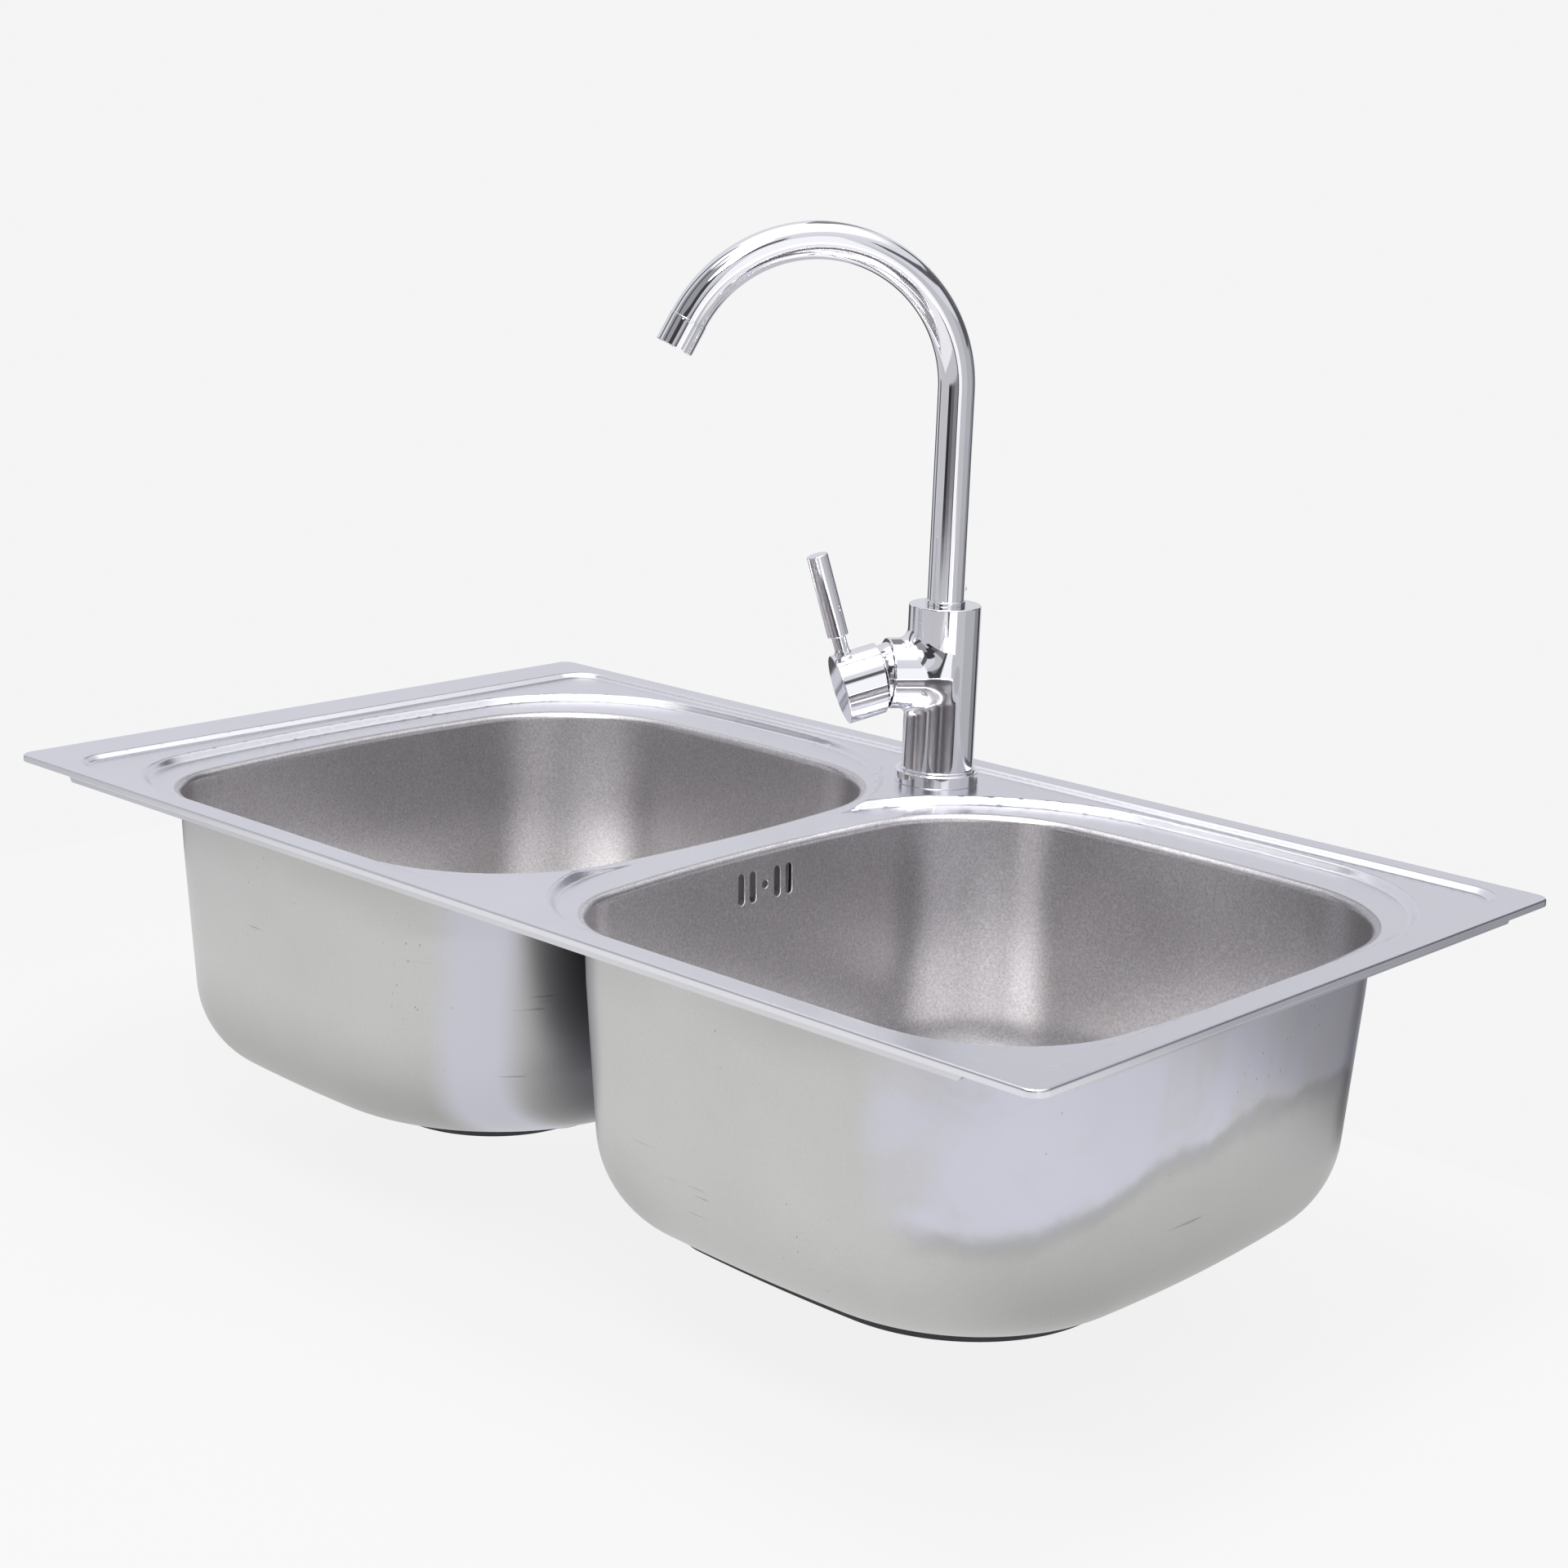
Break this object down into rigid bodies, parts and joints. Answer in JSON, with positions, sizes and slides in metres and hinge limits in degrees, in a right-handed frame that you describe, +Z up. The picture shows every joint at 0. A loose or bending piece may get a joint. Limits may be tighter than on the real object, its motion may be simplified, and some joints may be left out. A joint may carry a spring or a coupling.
{
  "type": "kitchen sink",
  "caption": "Inset double-bowl stainless kitchen sink with a side-lever swan-neck mixer tap, basket strainers, a slotted overflow and fixing rails under the rim.",
  "frame": {"origin": "centre of the rim's seating plane, where the folded edge rests on the worktop", "axes": "+Z up, +Y to the back edge that carries the tap, +X along the long side to the user's right"},
  "size_m": [0.86, 0.5, 0.6263],
  "materials": {
    "deck_steel": "satin",
    "bowl_steel": "satin, fine pearl grain",
    "rubber_black": "matt",
    "foam_grey": "closed foam",
    "strainer_steel": "polished",
    "waste_plastic": "moulded",
    "chrome": "mirror",
    "brass": "machined",
    "cartridge_plastic": "moulded"
  },
  "bodies": {
    "sink": {"sink_deck": "deck_steel", "rail_front": "deck_steel", "rail_back": "deck_steel", "rail_left": "deck_steel", "rail_right": "deck_steel", "left_bowl": "bowl_steel", "right_bowl": "bowl_steel", "left_damping_pad": "rubber_black", "right_damping_pad": "rubber_black", "left_strainer_gasket": "rubber_black", "right_strainer_gasket": "rubber_black", "tap_base_seal": "rubber_black", "shank_rubber_washer": "rubber_black", "cartridge_seals": "rubber_black", "overflow_seal": "rubber_black", "rim_seal": "foam_grey", "left_strainer_flange": "strainer_steel", "right_strainer_flange": "strainer_steel", "left_strainer_screw": "strainer_steel", "right_strainer_screw": "strainer_steel", "shank_steel_washer": "strainer_steel", "left_strainer_body": "waste_plastic", "right_strainer_body": "waste_plastic", "overflow_housing": "waste_plastic", "tap_base_ring": "chrome", "tap_body": "chrome", "spout_slip_ring": "chrome", "cartridge_nut": "chrome", "tap_shank": "brass", "shank_nut": "brass", "cartridge_housing": "cartridge_plastic"},
    "spout": {"spout_tube": "chrome", "spout_o_rings": "rubber_black", "spout_set_screw": "strainer_steel", "aerator_housing": "chrome", "aerator_washer": "rubber_black", "aerator_insert": "cartridge_plastic"},
    "lever_turn": {"cartridge_carrier": "cartridge_plastic", "cartridge_pin": "strainer_steel"},
    "lever": {"cartridge_spindle": "brass", "handle_cap": "chrome", "lever_neck": "chrome", "lever_rod": "chrome", "handle_grub_screw": "strainer_steel"},
    "left_basket_lift": {"left_basket": "strainer_steel", "left_basket_ring": "rubber_black"},
    "right_basket_lift": {"right_basket": "strainer_steel", "right_basket_ring": "rubber_black"}
  },
  "joints": [
    {"name": "spout_swivel", "type": "hinge", "parent": "sink", "child": "spout", "pos_m": [0.001, 0.191, 0.12], "axis": [0, 0, 1], "range_deg": [-55, 125]},
    {"name": "lever_temperature", "type": "hinge", "parent": "sink", "child": "lever_turn", "pos_m": [-0.01793, 0.16397, 0.0759], "axis": [-0.5736, -0.8192, 0], "range_deg": [-45, 45]},
    {"name": "lever_tilt", "type": "hinge", "parent": "lever_turn", "child": "lever", "pos_m": [-0.01793, 0.16397, 0.0759], "axis": [-0.8192, 0.5736, 0], "range_deg": [0, 20]},
    {"name": "left_basket_lift", "type": "slide", "parent": "sink", "child": "left_basket_lift", "axis": [0, 0, 1], "range_m": [0, 0.06]},
    {"name": "right_basket_lift", "type": "slide", "parent": "sink", "child": "right_basket_lift", "axis": [0, 0, 1], "range_m": [0, 0.06]}
  ]
}
